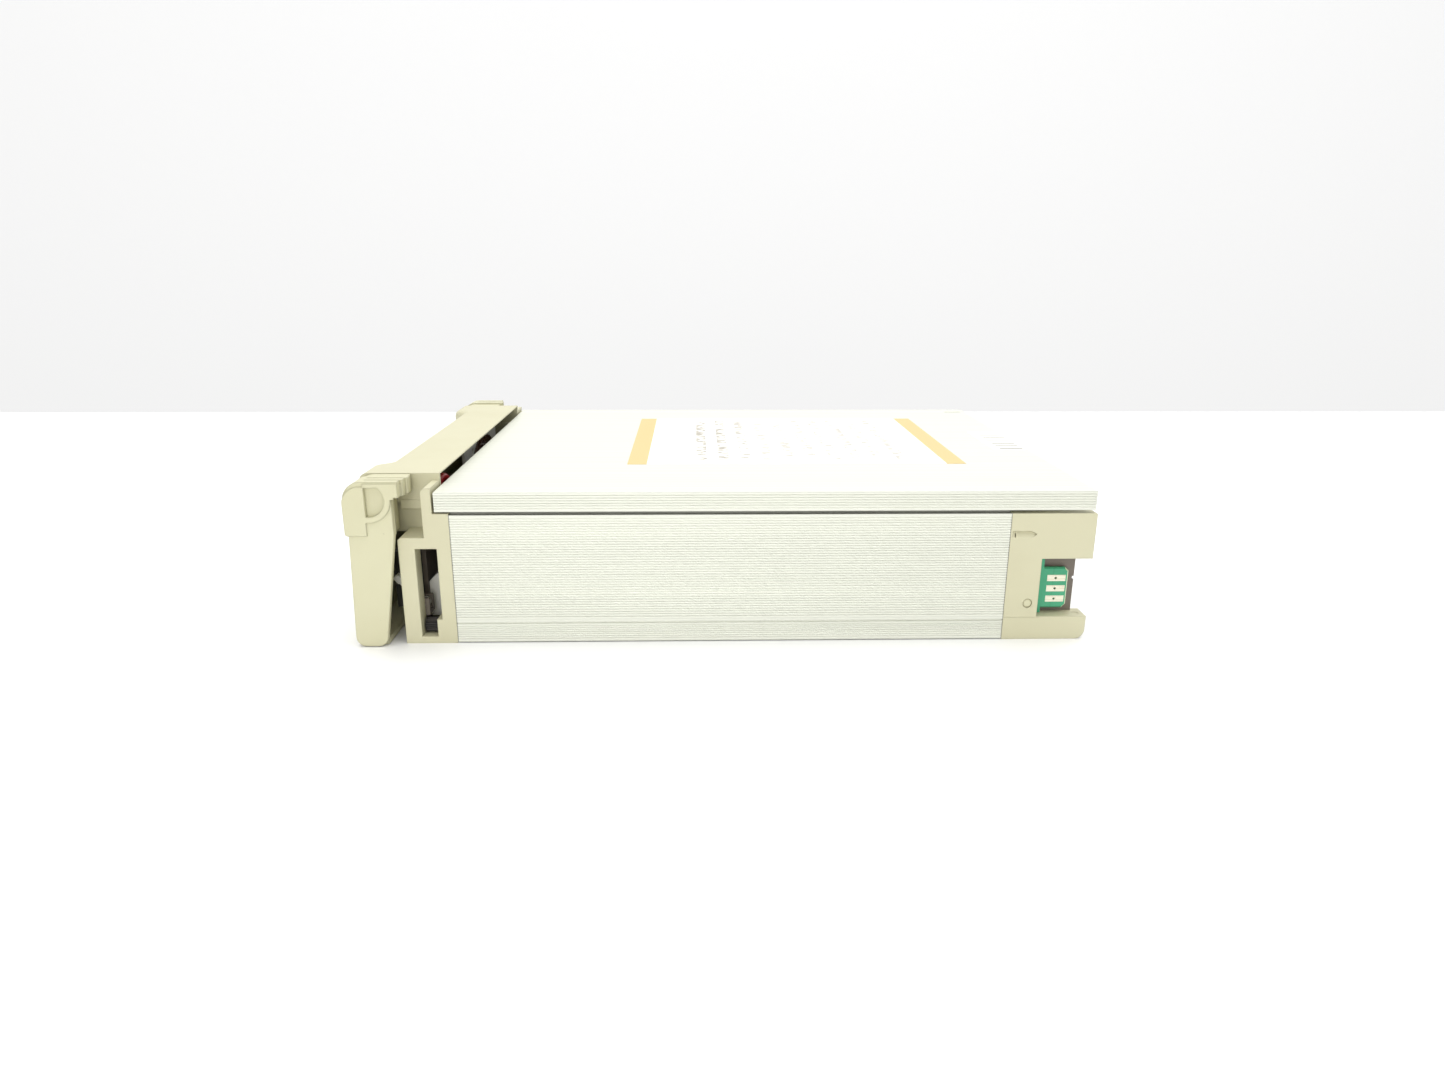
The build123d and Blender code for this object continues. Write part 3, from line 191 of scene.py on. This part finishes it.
# -------------------------------------------------------------------- materials
def moulded(name, color, aged, roughness=0.48, edge=0.5 * MM, corner_shade_amount=0.55):
    """Moulded plastic: fine grain, slight yellowing, painted shade in corners, edges lightened by rubbed
    wear and a painted highlight.
    """
    shader = Shader(name, color, roughness)
    cloudy = shader.noise((26, 26, 26), detail=4)
    shader.blend(shader.ramp(cloudy, 0.35, 0.75), aged, 0.45)
    specks = shader.ramp(shader.noise((420, 420, 420), detail=1), 0.76, 0.80)
    shader.blend(specks, tuple(c * 0.55 for c in aged), 0.25)
    # Painted shade in corners and crevices, in patches, from an occlusion mask.
    painted_corner_shade = shader.value("MULTIPLY", shader.crevices(4 * MM), shader.noise((150, 150, 150)))
    shader.blend(painted_corner_shade, tuple(c * 0.5 for c in aged), corner_shade_amount)
    # Lighter near edges: rubbed wear, and a painted highlight on the rounded edges.
    rubbed = shader.value("MULTIPLY", shader.edges(edge), shader.noise((300, 300, 300)))
    shader.blend(rubbed, tuple(min(1.0, c * 1.15 + 0.04) for c in color), 0.35)
    grain = shader.noise((2600, 2600, 2600), detail=2)
    shader.rough(shader.noise((90, 90, 90)), roughness - 0.07, roughness + 0.08)
    shader.principled.inputs["Specular IOR Level"].default_value = 0.7
    return shader.finish(grain, 0.05 * MM, 0.22, round_edges=edge)


def body_ends(shader):
    """The hairline joint with the frame at either end of the body."""
    low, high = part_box("case_body")
    from_middle = shader.value("ABSOLUTE", shader.value("SUBTRACT", shader.axis("X"), (low.x + high.x) / 2))
    return shader.value("GREATER_THAN", from_middle, (high.x - low.x) / 2 - 0.25 * MM)


def body_painted_shade_bands(shader):
    """Painted shade on the lip inside the cover's turned-down edge, and a painted contact shadow along the
    corner that rests on the bench.
    """
    z = shader.axis("Z")
    lip = shader.value("GREATER_THAN", z, COVERED_FROM)
    return shader.value("ADD", lip, shader.value("LESS_THAN", z, 0.35 * MM))


def ribbed_aluminium(name, color, groove_middle, joints_and_painted_shade):
    """Extruded aluminium: painted shade in the fine grooves, straight die lines, faint stains, and given
    bands darkened as dark joints and painted shade.
    """
    shader = Shader(name, color, 0.4, metallic=0.2)
    dark = tuple(c * 0.62 for c in color)
    # Painted shade in the fine grooves, in patches, on the faces that look along Y.
    above_middle = shader.value("SUBTRACT", shader.axis("Z"), groove_middle)
    pitches = shader.value("DIVIDE", above_middle, GROOVE_PITCH)
    from_groove = shader.value("ABSOLUTE", shader.value("SUBTRACT", shader.value("FRACT", pitches), 0.5))
    grooves = shader.value("SUBTRACT", 1.0, shader.ramp(from_groove, 0.08, 0.24))
    groove_patches = shader.ramp(shader.noise((3, 130, 130), detail=2), 0.34, 0.60)
    painted_groove_shade = shader.value("MULTIPLY", grooves, groove_patches)
    shader.blend(shader.value("MULTIPLY", painted_groove_shade, shader.facing("Y")), dark, 0.34)
    rows = shader.noise((0, 950, 950), detail=3, roughness=0.8)
    shader.blend(shader.ramp(rows, 0.44, 0.66), dark, 0.17)
    broad = shader.noise((0.3, 110, 110), detail=2, offset=(0.3, 1.7, 0.2))
    shader.blend(shader.ramp(broad, 0.46, 0.72), tuple(c * 0.84 for c in color), 0.30)
    stains = shader.noise((16, 24, 40), detail=5)
    shader.blend(shader.ramp(stains, 0.58, 0.84), (0.64, 0.62, 0.48), 0.18)
    nicks = shader.ramp(shader.noise((90, 520, 520), detail=2), 0.78, 0.82)
    shader.blend(nicks, (0.32, 0.32, 0.29), 0.35)
    # Darkened bands: dark hairline joints at the body's ends, painted shade on the lip inside the cover's
    # edge, and a painted contact shadow along the base.
    for joint_or_painted_shade in joints_and_painted_shade:
        shader.blend(joint_or_painted_shade(shader), (0.10, 0.10, 0.085), 0.7)
    shader.rough(rows, 0.32, 0.50)
    die_lines = shader.noise((0, 3000, 3000), detail=2)
    return shader.finish(die_lines, 0.03 * MM, 0.30, round_edges=0.1 * MM)


def metal(name, color, roughness, dull, scale=(300, 300, 300), edge=0.12 * MM):
    """Plated or machined metal with duller patches, painted shade in crevices and fine scratches."""
    shader = Shader(name, color, roughness, metallic=0.9)
    patches = shader.ramp(shader.noise(scale, detail=4), 0.45, 0.75)
    shader.blend(patches, dull, 0.5)
    # Painted shade in crevices, from an occlusion mask.
    shader.blend(shader.crevices(1.2 * MM), tuple(c * 0.4 for c in dull), 0.6)
    scratches = shader.noise((4000, 700, 4000), detail=2)
    shader.rough(patches, roughness - 0.08, roughness + 0.14)
    return shader.finish(scratches, 0.02 * MM, 0.3, round_edges=edge)


def coated(name, color, accent, roughness, scale=500, sheen=0.0, amount=0.4):
    """Painted, dipped or sleeved surface with a mottled accent colour and painted shade in crevices."""
    shader = Shader(name, color, roughness)
    mottling = shader.ramp(shader.noise((scale, scale, scale), detail=4), 0.42, 0.72)
    shader.blend(mottling, accent, amount)
    # Painted shade in crevices, from an occlusion mask.
    shader.blend(shader.crevices(2 * MM), tuple(c * 0.35 for c in color), 0.5)
    shader.rough(mottling, max(0.05, roughness - 0.1), roughness + 0.1)
    shader.principled.inputs["Coat Weight"].default_value = sheen
    orange_peel = shader.noise((1400, 1400, 1400), detail=1)
    return shader.finish(orange_peel, 0.04 * MM, 0.2, round_edges=0.12 * MM)


def circuit_board(name):
    """Green solder mask over copper tracks, with a pale bare edge."""
    green = (0.045, 0.33, 0.17)
    shader = Shader(name, green, 0.32)
    tracks = shader.add("ShaderNodeTexBrick")
    tracks.inputs["Scale"].default_value = 1.0
    tracks.inputs["Brick Width"].default_value = 6.0
    tracks.inputs["Row Height"].default_value = 1.9
    tracks.inputs["Mortar Size"].default_value = 0.22
    tracks.inputs["Color1"].default_value = (1, 1, 1, 1)
    tracks.inputs["Color2"].default_value = (1, 1, 1, 1)
    tracks.inputs["Mortar"].default_value = (0, 0, 0, 1)
    shader.link(shader.scaled((900, 900, 900)), tracks.inputs["Vector"])
    gaps = shader.value("SUBTRACT", 1.0, tracks.outputs["Color"])
    shader.blend(gaps, (0.03, 0.24, 0.12), 0.45)
    shader.blend(shader.ramp(shader.noise((80, 80, 80), detail=4), 0.4, 0.75), (0.08, 0.42, 0.23), 0.5)
    shader.blend(shader.facing("X"), (0.70, 0.76, 0.50), 0.9)
    shader.rough(shader.noise((200, 200, 200)), 0.24, 0.42)
    return shader.finish(tracks.outputs["Color"], 0.03 * MM, 0.4, round_edges=0.15 * MM)


def tinned_pads(name):
    """Tin-plated contacts with a rubbed track from the mating springs."""
    shader = Shader(name, (0.80, 0.77, 0.62), 0.38, metallic=0.35)
    rubbed = shader.ramp(shader.noise((60, 1, 1500), detail=2), 0.5, 0.62)
    shader.blend(rubbed, (0.58, 0.52, 0.36), 0.4)
    spots = shader.ramp(shader.noise((900, 900, 900), detail=2), 0.62, 0.7)
    shader.blend(spots, (0.50, 0.44, 0.28), 0.35)
    shader.rough(rubbed, 0.3, 0.5)
    return shader.finish(rubbed, 0.02 * MM, 0.3)


def label_stock(name, text_color, draw):
    """Matt paper with fine fibres; draw adds the printed areas."""
    shader = Shader(name, (0.90, 0.89, 0.84), 0.6)
    fibres = shader.noise((1800, 700, 1800), detail=3)
    shader.blend(shader.ramp(fibres, 0.5, 0.8), (0.78, 0.76, 0.68), 0.25)
    draw(shader, text_color)
    shader.rough(fibres, 0.5, 0.7)
    return shader.finish(fibres, 0.02 * MM, 0.25)


def between(shader, source, low, high):
    """1 where source lies between two limits."""
    above = shader.value("GREATER_THAN", source, low)
    below = shader.value("LESS_THAN", source, high)
    return shader.value("MULTIPLY", above, below)


def rating_print(shader, text_color):
    """Coloured band at each end and columns of small shapeless marks between them."""
    low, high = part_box("rating_label")
    x = shader.axis("X")
    band = 7.6 * MM
    first_band = shader.value("LESS_THAN", x, low.x + band)
    last_band = shader.value("GREATER_THAN", x, high.x - band)
    shader.blend(shader.value("ADD", first_band, last_band), (0.66, 0.50, 0.21), 0.95)
    column_pitch = 9.0 * MM
    column_phase = shader.value("MODULO", shader.value("SUBTRACT", x, low.x), column_pitch)
    column = shader.value("LESS_THAN", column_phase, 4.2 * MM)
    marks = shader.ramp(shader.noise((210, 480, 0), detail=2, offset=(3, 5, 0)), 0.48, 0.53)
    field = between(shader, x, low.x + 22 * MM, high.x - 20 * MM)
    margin = between(shader, shader.axis("Y"), low.y + 8 * MM, high.y - 7 * MM)
    printed_area = shader.value("MULTIPLY", field, margin)
    strokes = shader.value("MULTIPLY", shader.value("MULTIPLY", column, marks), printed_area)
    faded = shader.value("SUBTRACT", 1.0, shader.ramp(x, low.x + 30 * MM, low.x + 60 * MM))
    strength = shader.value("ADD", 0.52, shader.value("MULTIPLY", faded, 0.28))
    shader.blend(shader.value("MULTIPLY", strokes, strength), text_color)


def bar_print(shader, text_color):
    """Plain bars of uneven width across the sticker."""
    low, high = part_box("barcode_label")
    wandering = shader.value("MULTIPLY", shader.noise((0, 140, 0), detail=1), 9 * MM)
    along = shader.value("ADD", shader.value("SUBTRACT", shader.axis("Y"), low.y), wandering)
    bars = shader.value("LESS_THAN", shader.value("MODULO", along, 6.2 * MM), 2.6 * MM)
    length = between(shader, shader.axis("X"), low.x + 3.4 * MM, high.x - 1.0 * MM)
    margin = between(shader, shader.axis("Y"), low.y + 2 * MM, high.y - 2 * MM)
    area = shader.value("MULTIPLY", length, margin)
    shader.blend(shader.value("MULTIPLY", bars, area), text_color, 0.9)


def clear_glass(name):
    """Fuse tube with metal ends and a faint smoky tint."""
    low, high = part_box("fuse")
    cap_length = 5.4 * MM
    shader = Shader(name, (0.82, 0.86, 0.84), 0.08)
    x = shader.axis("X")
    near_cap = shader.value("LESS_THAN", x, low.x + cap_length)
    far_cap = shader.value("GREATER_THAN", x, high.x - cap_length)
    caps = shader.value("ADD", near_cap, far_cap)
    shader.blend(caps, (0.70, 0.70, 0.68), 1.0)
    shader.blend(shader.ramp(shader.noise((200, 200, 200)), 0.5, 0.8), (0.55, 0.56, 0.52), 0.3)
    shader.link(caps, shader.principled.inputs["Metallic"])
    shader.link(shader.value("SUBTRACT", 0.85, caps), shader.principled.inputs["Transmission Weight"])
    return shader.finish(shader.noise((500, 500, 500)), 0.01 * MM, 0.1)


BEIGE = (0.59, 0.565, 0.385)
BEIGE_AGED = (0.54, 0.51, 0.33)
CREAM = (0.61, 0.59, 0.395)
CREAM_AGED = (0.56, 0.53, 0.33)
ALUMINIUM = (0.75, 0.76, 0.67)

MATERIALS = {
    "beige_plastic": lambda name: moulded(name, BEIGE, BEIGE_AGED),
    "cream_plastic": lambda name: moulded(name, CREAM, CREAM_AGED, edge=0.8 * MM),
    "grey_plastic": lambda name: moulded(name, (0.10, 0.105, 0.10), (0.13, 0.13, 0.12), 0.55),
    "dark_plate": lambda name: moulded(name, (0.14, 0.115, 0.09), (0.18, 0.15, 0.12), 0.5, 0.2 * MM),
    "white_plastic": lambda name: moulded(
        name, (0.88, 0.87, 0.80), (0.82, 0.79, 0.66), 0.35, 0.3 * MM, corner_shade_amount=0.1
    ),
    "orange_plastic": lambda name: moulded(name, (0.62, 0.16, 0.03), (0.52, 0.15, 0.04), 0.42),
    "circuit_board": circuit_board,
    "tinned_pads": tinned_pads,
    "zinc_steel": lambda name: metal(name, (0.60, 0.60, 0.58), 0.32, (0.42, 0.41, 0.36)),
    "black_steel": lambda name: metal(name, (0.035, 0.033, 0.032), 0.38, (0.09, 0.08, 0.07)),
    "brass_spacer": lambda name: metal(name, (0.68, 0.50, 0.20), 0.3, (0.45, 0.33, 0.14)),
    "insulation": lambda name: coated(name, (0.42, 0.43, 0.37), (0.34, 0.34, 0.28), 0.7, 300),
    "ferrite": lambda name: coated(name, (0.025, 0.025, 0.028), (0.06, 0.06, 0.065), 0.45, 900),
    "tape_wound": lambda name: coated(name, (0.72, 0.50, 0.08), (0.58, 0.40, 0.08), 0.3, 200, 0.4),
    "dark_winding": lambda name: coated(name, (0.055, 0.018, 0.012), (0.10, 0.04, 0.03), 0.28, 700, 0.5),
    "wound_ring": lambda name: coated(name, (0.10, 0.04, 0.025), (0.16, 0.07, 0.04), 0.28, 700, 0.5),
    "pale_plate": lambda name: coated(name, (0.92, 0.92, 0.89), (0.80, 0.79, 0.75), 0.4, 120, 0.2),
    "black_sleeve": lambda name: coated(name, (0.02, 0.025, 0.04), (0.05, 0.055, 0.07), 0.3, 300, 0.4),
    "yellow_film": lambda name: coated(name, (0.75, 0.52, 0.10), (0.62, 0.42, 0.08), 0.35, 200, 0.3),
    "black_epoxy": lambda name: coated(name, (0.03, 0.03, 0.03), (0.07, 0.07, 0.07), 0.55, 900),
    "blue_epoxy": lambda name: coated(name, (0.02, 0.07, 0.34), (0.04, 0.12, 0.44), 0.3, 300, 0.5),
    "heatsink": lambda name: metal(name, (0.66, 0.66, 0.64), 0.35, (0.50, 0.50, 0.47), (20, 400, 400)),
    "fuse_glass": clear_glass,
    "terminal_black": lambda name: moulded(
        name, (0.03, 0.032, 0.032), (0.055, 0.055, 0.05), 0.42, 0.2 * MM
    ),
    "trimmer_white": lambda name: moulded(name, (0.78, 0.75, 0.62), (0.66, 0.60, 0.44), 0.35, 0.2 * MM),
    "lamp_lens": lambda name: coated(name, (0.06, 0.34, 0.10), (0.12, 0.50, 0.16), 0.15, 400, 0.8),
    "red_insulation": lambda name: coated(name, (0.42, 0.02, 0.025), (0.30, 0.015, 0.02), 0.38, 300, 0.2),
    "black_insulation": lambda name: coated(name, (0.02, 0.02, 0.02), (0.05, 0.05, 0.05), 0.42, 300, 0.2),
}


def label_material(name, node):
    if node == "rating_label":
        return label_stock(name, (0.30, 0.26, 0.20), rating_print)
    return label_stock(name, (0.26, 0.25, 0.22), bar_print)


def paint(node, material):
    nodes[node].data.materials.clear()
    nodes[node].data.materials.append(material)


# middle height of each piece's rows of grooves
GROOVE_MIDDLES = {"case_body": 27.9 * MM, "case_cover": 52.0 * MM}
made = {}
for entry in frame["record"]["subparts"]:
    node, slot = entry["node"], entry["material_slot"]
    if slot == "label_paper":
        paint(node, label_material("label_" + node, node))
        continue
    if slot == "ribbed_aluminium":
        joints_and_painted_shade = (body_ends, body_painted_shade_bands) if node == "case_body" else ()
        paint(node, ribbed_aluminium("looks_" + node, ALUMINIUM, GROOVE_MIDDLES[node], joints_and_painted_shade))
        continue
    if slot not in made:
        made[slot] = MATERIALS[slot]("looks_" + slot)
    paint(node, made[slot])


# ----------------------------------------------------------------- latch spring
def coil_mesh(name, low, high, wire, turns):
    """Round wire wound along Y inside a box, with close turns at both ends."""
    around, per_turn = 10, 28
    steps = turns * per_turn
    middle = (low + high) / 2
    coil_radius = (high.x - low.x) / 2 - wire
    start, length = low.y + wire, high.y - low.y - 2 * wire
    rings = []
    for step in range(steps + 1):
        share = step / steps
        eased = share - 0.8 * math.sin(2 * math.pi * share) / (2 * math.pi)
        angle = 2 * math.pi * step / per_turn
        outward = Vector((math.cos(angle), 0, math.sin(angle)))
        centre = Vector((middle.x, start + eased * length, middle.z)) + outward * coil_radius
        ring = []
        for point in range(around):
            turn = 2 * math.pi * point / around
            ring.append(centre + outward * wire * math.cos(turn) + Vector((0, wire * math.sin(turn), 0)))
        rings.append(ring)
    vertices = [vertex for ring in rings for vertex in ring]
    faces = []
    for step in range(steps):
        for point in range(around):
            after = (point + 1) % around
            near, far = step * around, (step + 1) * around
            faces.append((near + point, near + after, far + after, far + point))
    faces.append(tuple(reversed(range(around))))
    faces.append(tuple(range(steps * around, (steps + 1) * around)))
    mesh = bpy.data.meshes.new(name)
    mesh.from_pydata(vertices, [], faces)
    mesh.polygons.foreach_set("use_smooth", [True] * len(mesh.polygons))
    mesh.update()
    return mesh


SPRING_WIRE = 0.2 * MM  # radius of the wire
SPRING_TURNS = 9
spring_low, spring_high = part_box("latch_spring")
coil_shape = coil_mesh("latch_spring_coil", spring_low, spring_high, SPRING_WIRE, SPRING_TURNS)
coil = bpy.data.objects.new("latch_spring_coil", coil_shape)
bpy.context.scene.collection.objects.link(coil)
coil.data.materials.append(made["zinc_steel"])
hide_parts("latch_spring")
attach(coil, "case")
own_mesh(coil)


# ------------------------------------------------------------------------ stage
def plain_stage(name, corners, color, roughness, glow=0.0):
    """Flat sheet through four corners with a faintly mottled finish."""
    mesh = bpy.data.meshes.new(name)
    mesh.from_pydata(corners, [], [(0, 1, 2, 3)])
    sheet = bpy.data.objects.new(name, mesh)
    bpy.context.scene.collection.objects.link(sheet)
    shader = Shader("looks_" + name, color, roughness)
    shader.blend(shader.noise((6, 6, 6), detail=4), tuple(c * 0.97 for c in color), 0.5)
    shader.principled.inputs["Emission Color"].default_value = (1, 1, 1, 1)
    shader.principled.inputs["Emission Strength"].default_value = glow
    mesh.materials.append(shader.finish(shader.noise((300, 300, 300)), 0.02 * MM, 0.1))


table_edge = 0.433
wall_y = 0.95
plain_stage(
    "floor",
    [(-2.5, -1.6, 0), (2.5, -1.6, 0), (2.5, table_edge, 0), (-2.5, table_edge, 0)],
    (0.92, 0.92, 0.92),
    0.5,
)
plain_stage(
    "backdrop",
    [(-3.5, wall_y, -0.8), (3.5, wall_y, -0.8), (3.5, wall_y, 2.5), (-3.5, wall_y, 2.5)],
    (0.25, 0.25, 0.25),
    0.9,
    glow=0.70,
)

# ----------------------------------------------------------------------- lights
scene = bpy.context.scene
world = bpy.data.worlds.new("studio")
scene.world = world
world.use_nodes = True
background = world.node_tree.nodes["Background"]
background.inputs["Color"].default_value = (1.0, 1.0, 0.985, 1)
background.inputs["Strength"].default_value = 0.54
scene.view_settings.view_transform = "Standard"


def soft_light(name, place, target, size, power):
    """Square area light that faces a target point."""
    light = bpy.data.lights.new(name, "AREA")
    light.size = size
    light.energy = power
    lamp = bpy.data.objects.new(name, light)
    lamp.location = place
    direction = Vector(target) - Vector(place)
    lamp.rotation_euler = direction.to_track_quat("-Z", "Y").to_euler()
    scene.collection.objects.link(lamp)


soft_light("overhead", (0.1, 0.05, 1.3), (0, 0, 0), 1.6, 20)
soft_light("front_fill", (-0.12, -1.1, 0.30), (0, 0, 0.03), 0.6, 3.7)

# ----------------------------------------------------------------------- camera
CAMERA_PLACE = Vector((-12.83, -413.05, 134.30)) * MM
CAMERA_PITCH = math.radians(16.740)  # below the horizon
CAMERA_YAW = math.radians(1.658)  # towards +X
CAMERA_ROLL = math.radians(0.232)
LENS = 23.89  # for a 36 mm wide sensor

view_direction = Vector(
    (
        math.sin(CAMERA_YAW) * math.cos(CAMERA_PITCH),
        math.cos(CAMERA_YAW) * math.cos(CAMERA_PITCH),
        -math.sin(CAMERA_PITCH),
    )
)
level_right = Vector((math.cos(CAMERA_YAW), -math.sin(CAMERA_YAW), 0))
level_up = level_right.cross(view_direction)
right = level_right * math.cos(CAMERA_ROLL) + level_up * math.sin(CAMERA_ROLL)
up = level_up * math.cos(CAMERA_ROLL) - level_right * math.sin(CAMERA_ROLL)

camera_data = bpy.data.cameras.new("camera")
camera_data.lens = LENS
camera_data.sensor_width = 36
camera_data.clip_start = 0.01
camera = bpy.data.objects.new("camera", camera_data)
camera_turn = Matrix((right, up, -view_direction)).transposed().to_4x4()
camera.matrix_world = Matrix.Translation(CAMERA_PLACE) @ camera_turn
scene.collection.objects.link(camera)
scene.camera = camera
